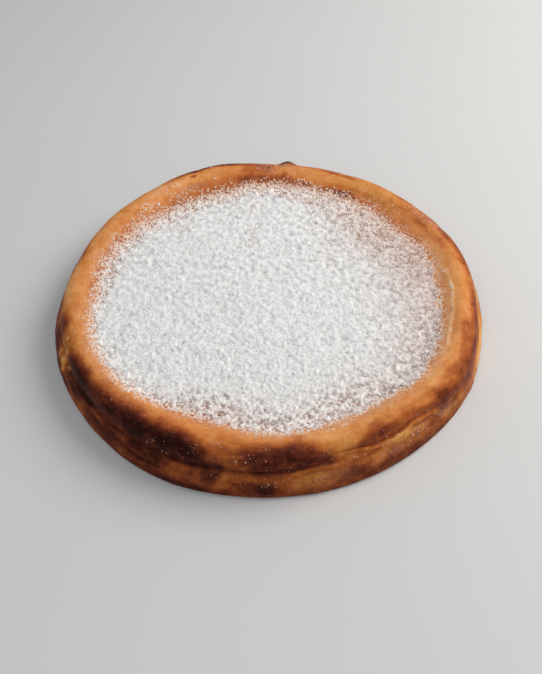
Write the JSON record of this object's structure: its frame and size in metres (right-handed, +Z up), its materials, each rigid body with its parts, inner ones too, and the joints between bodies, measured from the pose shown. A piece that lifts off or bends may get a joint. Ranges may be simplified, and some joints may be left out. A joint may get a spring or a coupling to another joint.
{
  "type": "ricotta cake",
  "caption": "Whole round baked ricotta cake with a puffed browned rim, a folded side and a sunken top dusted with icing sugar, for setting on a plate or tray.",
  "frame": {"origin": "middle of the flat base, on the surface that the cake stands on", "axes": "+Z up; -Y towards the front, where the side's fold is deepest; +X to the right seen from the front"},
  "size_m": [0.2641, 0.2607, 0.0306],
  "materials": {
    "crust": "satin baked crust, golden with toasted brown patches",
    "sugar": "matte fine white powder"
  },
  "bodies": {
    "root": {"cake": "crust", "icing_sugar": "sugar"}
  },
  "joints": []
}
